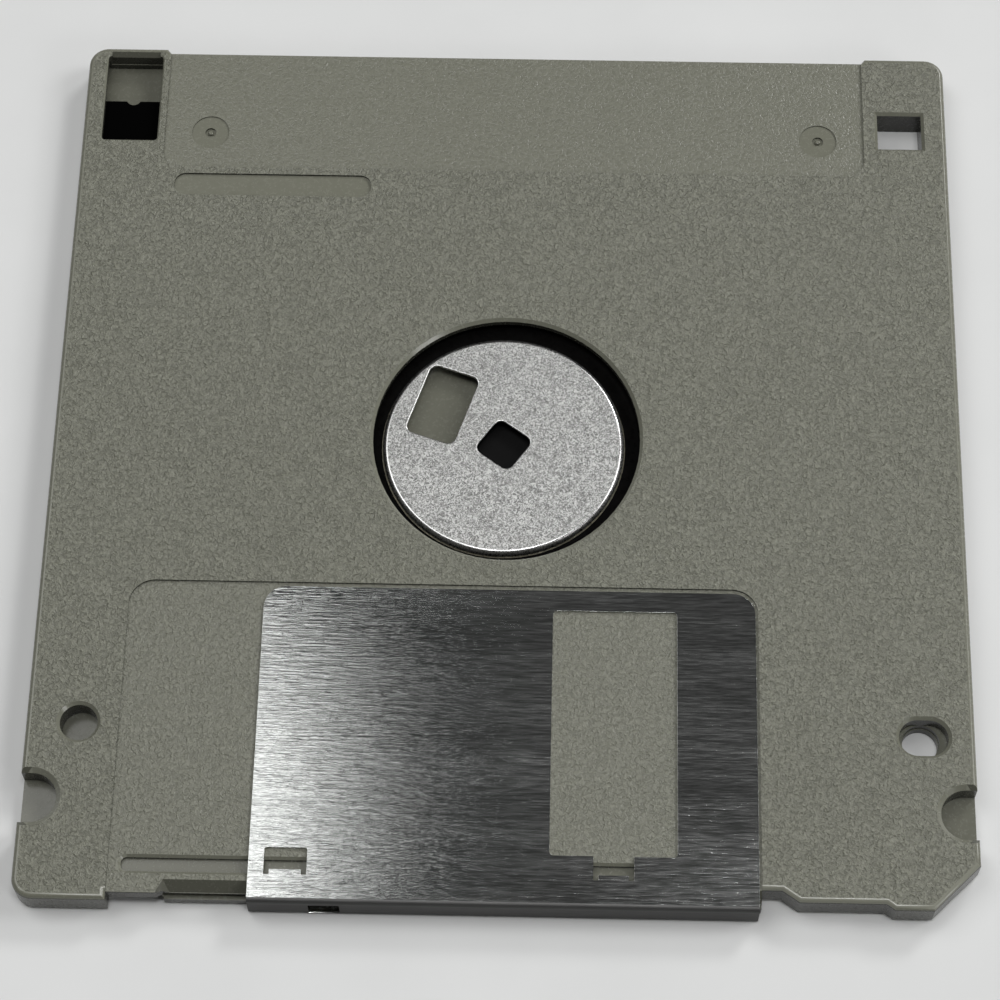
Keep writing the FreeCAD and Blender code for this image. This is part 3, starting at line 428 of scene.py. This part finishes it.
def merged_copy(node_name):
    """A bmesh of the solid's mesh with its doubles merged and its flat faces joined."""
    work = bmesh.new()
    work.from_mesh(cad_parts[node_name].data)
    bmesh.ops.remove_doubles(work, verts=work.verts, dist=MERGE_WITHIN)
    bmesh.ops.dissolve_limit(
        work, angle_limit=FLAT_WITHIN, use_dissolve_boundaries=False,
        verts=work.verts, edges=work.edges, delimit=set(),
    )
    return work


def turns_by(edge, degrees):
    """True where exactly two faces meet at the edge and turn by this angle or more."""
    return len(edge.link_faces) == 2 and edge.calc_face_angle(0.0) >= math.radians(degrees)


def sharp_edges(work, degrees):
    return [edge for edge in work.edges if turns_by(edge, degrees)]


def bevel_edges(work, edges, offset, segments):
    bmesh.ops.bevel(
        work, geom=edges, offset=offset, offset_type="OFFSET", segments=segments,
        profile=0.5, affect="EDGES", clamp_overlap=True, material=-1,
    )


print("there are", len(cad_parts), "solids to copy or keep")

# %% From a copy to a piece
def finish_piece(work, name, material, body, replaced=None, smooth_below=35.0):
    """Turns a bmesh into a piece of the object; it rides on the body, if one is given."""
    mesh = bpy.data.meshes.new(name)
    for face in work.faces:
        face.smooth = True
    for edge in work.edges:
        edge.smooth = len(edge.link_faces) == 2 and not turns_by(edge, smooth_below)
    work.to_mesh(mesh)
    work.free()
    mesh.materials.append(material)
    piece = bpy.data.objects.new(name, mesh)
    bpy.context.scene.collection.objects.link(piece)
    weighted = piece.modifiers.new("flat_faces", "WEIGHTED_NORMAL")
    weighted.keep_sharp = True
    weighted.weight = 100
    if body:
        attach(piece, body)
    if replaced:
        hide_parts(replaced)
    print(name, len(mesh.vertices), "points", len(mesh.polygons), "faces")
    return piece



# %% [markdown]
# The two shells carry most of the look. Their edges are rounded by how the mould was cut:
# slopes of nearly a fifth of a millimetre lead into the label recess, the shutter's recess and
# the stadium, the lip at the front is a little rounder, and the other edges are only just
# broken. Then each face is told how much of the mould's grain it has, how much painted shade
# it gets as a wall or deep floor, and how much painted highlight it gets as a rim.

# %% Where the recesses are
CASE_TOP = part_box("back_shell")[1].z
SHALLOW = 0.25 * MM
LABEL_SIDE = 36.4 * MM

# Rectangles seen from above, in mm: left, right, front, back.
LABEL_FRONT = (-36.5, 36.5, 32.3, 34.5)
ABOUT_STADIUM = (-37.0, 37.0, 27.0, 33.0)
STADIUM = (-45.0, -14.0, 28.8, 31.7)
SHUTTER_RECESS = (-36.3, 25.0, -48.0, -13.0)
LIP = (-46.0, -31.0, -48.0, -46.0)
INSIDE_RIM = (-44.2, 44.2, -46.4, 46.2)


def within(place, rectangle):
    left, right, front, back = (side * MM for side in rectangle)
    return left < place.x < right and front < place.y < back


def label_edge(place):
    """True on the sides, the front line and the front corners of a label recess."""
    at_side = place.y > LABEL_FRONT[2] * MM and abs(abs(place.x) - LABEL_SIDE) < 0.03 * MM
    return at_side or within(place, LABEL_FRONT)


print("the case is", round(CASE_TOP / MM, 2), "mm thick")

# %% Edges by how much each is rounded
# The width of each rounding in mm, and its steps.
ROUNDINGS = {"label": (0.18, 2), "recess": (0.17, 3), "lip": (0.25, 3), "plain": (0.07, 2)}
TOUCHING = 0.002 * MM


def case_edges(work):
    groups = {name: [] for name in ROUNDINGS}
    for edge in sharp_edges(work, 40.0):
        place = (edge.verts[0].co + edge.verts[1].co) / 2
        depth = min(abs(place.z - CASE_TOP), abs(place.z))
        on_face = depth < TOUCHING
        in_recess = abs(depth - SHALLOW) < TOUCHING
        name = "plain"
        if on_face and label_edge(place):
            name = "label"
        elif on_face and (within(place, ABOUT_STADIUM) or within(place, SHUTTER_RECESS)):
            name = "recess"
        elif in_recess and within(place, LIP):
            name = "lip"
        groups[name].append(edge)
    return groups


print("roundings in mm and steps", ROUNDINGS)

# %% Grain, painted shade on walls and painted highlight on rims
# How much of a face's normal points up or down when it is level or steep.
LEVEL, STEEP = 0.9995, 0.35
FLOOR_DEPTH = 0.8 * MM
SLOPE_WIDTH, THIN_RIM = 0.45 * MM, 0.12 * MM


def recess_grain(place):
    if within(place, STADIUM):
        return 0.0
    return 0.35 if place.y > 0 else 0.75


def mark_faces(work):
    """Writes on each face how grained it is, how much painted shade it gets as a wall or deep
    floor, and how much painted highlight it gets as a rim.
    """
    grain, painted_shade, smooth_rim_painted_glint = (work.faces.layers.float.new(name) for name in ("grain", "painted_shade", "smooth_rim_painted_glint"))
    for face in work.faces:
        place = face.calc_center_median()
        depth = min(abs(place.z - CASE_TOP), abs(place.z))
        level = abs(face.normal.z) > LEVEL
        outside = not within(place, INSIDE_RIM)
        if level and depth < 0.01 * MM:
            face[grain] = 1.0
        elif level and abs(depth - SHALLOW) < 0.01 * MM:
            face[grain] = recess_grain(place)
        # Deep floors, steep walls and wide slopes get painted shade.
        elif level and depth > FLOOR_DEPTH:
            face[painted_shade] = 0.30
        elif abs(face.normal.z) < STEEP:
            face[painted_shade] = 0.8 if outside else 1.0
        elif not level:
            width = face.calc_area() / max(edge.calc_length() for edge in face.edges)
            if width > SLOPE_WIDTH:
                face[painted_shade] = 0.6
            # Narrow rims inside the case get a painted highlight and a little less roughness.
            elif not outside:
                face[smooth_rim_painted_glint] = 1.0 if width < THIN_RIM else 0.15


print("faces get their grain by depth and slope")

# %% Case shells
def dress_shell(node_name, piece_name):
    work = merged_copy(node_name)
    groups = case_edges(work)
    print(node_name, "edges", {name: len(edges) for name, edges in groups.items()})
    for name, (offset, segments) in ROUNDINGS.items():
        edges = [edge for edge in groups[name] if edge.is_valid]
        bevel_edges(work, edges, offset * MM, segments)
    mark_faces(work)
    finish_piece(work, piece_name, CASE_PLASTIC, "case", node_name)


dress_shell("back_shell", "back_shell_moulding")
dress_shell("front_shell", "front_shell_moulding")

# %% [markdown]
# Each gate dish has a pit with a torn stub in it, where the runner of plastic was broken off.
# The stub is a short lump: a cone of few sides whose points are pushed about by a fixed list of
# amounts, so that no two sides match.

# %% Gate stubs
PIT_X, PIT_Y, PIT_DEPTH = 31.65 * MM, 36.75 * MM, 0.60 * MM
STUB_HEIGHT = 0.26 * MM
PUSHES = (0.9, 1.15, 0.75, 1.05, 0.85, 1.2, 0.95, 0.7, 1.1)


def gate_stubs():
    work = bmesh.new()
    for side in (-1, 1):
        made = bmesh.ops.create_cone(
            work, cap_ends=True, cap_tris=False, segments=len(PUSHES),
            radius1=0.40 * MM, radius2=0.24 * MM, depth=STUB_HEIGHT,
        )
        for index, point in enumerate(made["verts"]):
            push = PUSHES[(index * 4 + (side > 0)) % len(PUSHES)]
            point.co.x *= push
            point.co.y *= PUSHES[(index * 2) % len(PUSHES)]
            if point.co.z > 0:
                point.co.z *= 0.5 + push * 0.6
        foot = CASE_TOP - PIT_DEPTH
        where = Vector((side * PIT_X, PIT_Y, foot + STUB_HEIGHT / 2))
        bmesh.ops.translate(work, verts=made["verts"], vec=where)
    bevel_edges(work, list(work.edges), 0.03 * MM, 2)
    finish_piece(work, "gate_stubs", CASE_PLASTIC, "case")


gate_stubs()

# %% [markdown]
# The shutter keeps the form of its solid: sheet folded round the shutter edge, with its window
# and its two lanced tabs. Its UV map lays U across the brushing, because scratches spread a
# highlight across themselves. The faces of the bend are marked, so that they stay unbrushed and
# take the painted shade.

# %% Shutter
UV_SPAN = 0.1
FOLD_FRONT = -44.0 * MM


def dress_shutter():
    work = merged_copy("shutter")
    bevel_edges(work, sharp_edges(work, 40.0), 0.05 * MM, 2)
    layer = work.loops.layers.uv.new("brushing")
    bent = work.faces.layers.float.new("bent")
    for face in work.faces:
        for loop in face.loops:
            point = loop.vert.co
            across, along = point.y + point.z, point.x
            loop[layer].uv = (across / UV_SPAN + 0.5, along / UV_SPAN + 0.5)
        if face.normal.y < -0.05 and face.calc_center_median().y < FOLD_FRONT:
            face[bent] = 1.0
    finish_piece(
        work, "shutter_sheet", SHUTTER_STEEL, "shutter_body", "shutter",
    )


dress_shutter()

# %% [markdown]
# The hub's rim is bent in a press, so the bend is round where the solid has a plain chamfer.
# Bevelling the chamfer's own edges turns it into that bend, and the edges of the punched holes
# get the same rounding.

# %% Hub
def dress_hub():
    work = merged_copy("hub")
    bevel_edges(work, sharp_edges(work, 30.0), 0.13 * MM, 3)
    layer = work.faces.layers.float.new("bent")
    for face in work.faces:
        face[layer] = 0.0 if abs(face.normal.z) > 0.995 else 1.0
    finish_piece(work, "hub_stamping", HUB_STEEL, "disc_body", "hub", 50.0)


dress_hub()

# %% [markdown]
# The spring is hooked into the case at one end and into the shutter at the other. Its copy stays
# where the solid stands and rides on no body. The tab is one black moulding with softened edges.


def dress_spring():
    work = merged_copy("shutter_spring")
    piece = finish_piece(
        work, "spring_wire", SPRING_STEEL, None, "shutter_spring", 60.0,
    )
    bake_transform(piece)


def dress_tab():
    work = merged_copy("write_protect_tab")
    bevel_edges(work, sharp_edges(work, 40.0), 0.10 * MM, 3)
    finish_piece(
        work, "sliding_tab", TAB_PLASTIC, "tab_body", "write_protect_tab",
    )


dress_spring()
dress_tab()

# %% [markdown]
# The disc, its glue, the liners, the lifter and the pad have the right shape as they are, and
# only edges of them show. So they keep their own mesh and are only given their finish.

# %% Materials of the nodes that stay
STAYING = {
    "magnetic_disc": MAGNETIC_FILM,
    "hub_adhesive_ring": GLUE_FILM,
    "back_liner": LINER_FABRIC,
    "front_liner": LINER_FABRIC,
    "liner_lifter": LIFTER_LEAF,
    "wear_pad": PAD_PLASTIC,
}
for node_name, material in STAYING.items():
    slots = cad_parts[node_name].data.materials
    slots.clear()
    slots.append(material)
print(len(STAYING), "solids keep their own mesh")

# %% [markdown]
# The photograph has a pale table top and soft light from above. The floor is one large sheet
# with a faint mottling, just under the case.

# %% Floor
def floor_finish():
    material, tree, shader = new_surface("table_top")
    points = object_points(tree)
    mottle = noise(tree, points, 60, 3.0, 0.5)
    colour = blend_colours(tree, mottle, (0.63, 0.635, 0.63, 1), (0.70, 0.705, 0.70, 1))
    tree.links.new(colour, shader.inputs["Base Color"])
    shader.inputs["Roughness"].default_value = 0.55
    shader.inputs["Specular IOR Level"].default_value = 0.3
    return material


sheet = bmesh.new()
bmesh.ops.create_grid(sheet, x_segments=1, y_segments=1, size=1.5)
bmesh.ops.translate(sheet, verts=sheet.verts, vec=(0, 0, -0.02 * MM))
floor_mesh = bpy.data.meshes.new("table_top")
sheet.to_mesh(floor_mesh)
sheet.free()
floor_mesh.materials.append(floor_finish())
floor = bpy.data.objects.new("table_top", floor_mesh)
bpy.context.scene.collection.objects.link(floor)
print("floor is", round(floor.dimensions.x, 1), "m wide")

# %% [markdown]
# Steel shows what is around it, so the lamps are also what the shutter mirrors. The room is dim
# and the lamps are soft. The main one hangs overhead, just outside what the brushed steel
# spreads, and a pale card stands at the left, where the left third of the shutter mirrors it.
# Light from overhead and from behind leaves the walls that face the camera dark. A weak front
# lamp draws a bright line along rounded edges that face it.

# %% Lamps and world
def soft_lamp(name, place, width, height, level):
    """A soft lamp that lights a level white surface at the origin to the given part of white."""
    spot = Vector(place)
    data = bpy.data.lights.new(name, "AREA")
    data.shape = "RECTANGLE"
    data.size = width
    data.size_y = height
    # An area lamp's watts that give this level, with its distance and the slant of its light.
    data.energy = level * math.pi ** 2 * spot.length_squared / (spot.z / spot.length)
    lamp = bpy.data.objects.new(name, data)
    lamp.location = spot
    lamp.rotation_euler = (-spot).to_track_quat("-Z", "Y").to_euler()
    bpy.context.scene.collection.objects.link(lamp)
    glow = data.energy / (math.pi * width * height)
    print(name, "shows as bright as", round(glow, 2), "times white")


# Name, place, width and height in metres, and level as a part of white.
LAMPS = (
    ("left_card", (-0.555, 0.34, 1.10), 0.62, 0.80, 0.25),
    ("top_lamp", (0.05, -0.10, 1.30), 0.55, 0.25, 0.34),
    ("right_lamp", (1.05, 0.25, 0.85), 0.50, 0.50, 0.19),
    ("back_lamp", (0.75, 1.00, 0.90), 0.40, 0.30, 0.18),
    ("front_lamp", (1.05, -0.75, 0.60), 0.42, 0.36, 0.07),
)
for lamp_row in LAMPS:
    soft_lamp(*lamp_row)

world = bpy.data.worlds.new("dim_room")
world.use_nodes = True
room = world.node_tree.nodes["Background"]
room.inputs["Color"].default_value = (1.0, 1.0, 1.0, 1.0)
room.inputs["Strength"].default_value = 0.05
bpy.context.scene.world = world
print("five lamps and a dim room")
